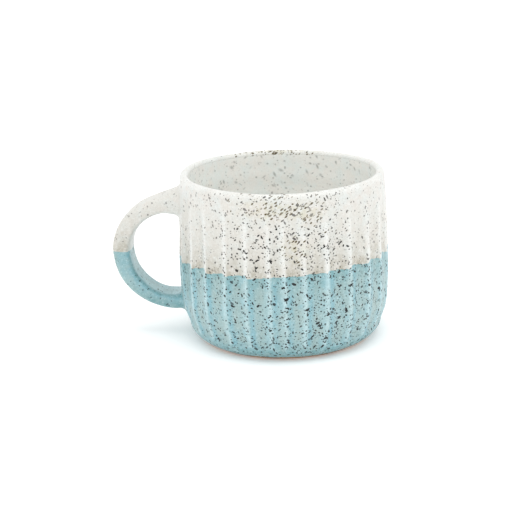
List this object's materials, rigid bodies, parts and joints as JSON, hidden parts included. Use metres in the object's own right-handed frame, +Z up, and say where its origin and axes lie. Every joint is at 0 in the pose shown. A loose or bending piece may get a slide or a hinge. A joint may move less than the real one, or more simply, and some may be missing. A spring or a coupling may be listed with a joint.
{
  "type": "ceramic mug",
  "caption": "Low round stoneware mug with carved vertical flutes, a looped strap handle, speckled white glaze above and pale blue glaze below, and a bare clay foot.",
  "frame": {"origin": "centre of the foot, on the plane that the mug stands on", "axes": "+Z up along the bowl's axis; the handle stands out towards -X"},
  "size_m": [0.1259, 0.0956, 0.0765],
  "materials": {
    "stoneware": "bare fired clay, warm tan, dry and slightly sandy",
    "white_glaze": "satin-gloss warm white glaze over iron-speckled clay",
    "blue_glaze": "satin-gloss pale turquoise glaze, paler on the crests and deeper where it pools"
  },
  "bodies": {
    "root": {"body": "stoneware", "handle": "stoneware", "upper_handle_slip": "stoneware", "lower_handle_slip": "stoneware", "liner_glaze": "white_glaze", "white_glaze": "white_glaze", "handle_white_glaze": "white_glaze", "blue_glaze": "blue_glaze", "handle_blue_glaze": "blue_glaze"}
  },
  "joints": []
}
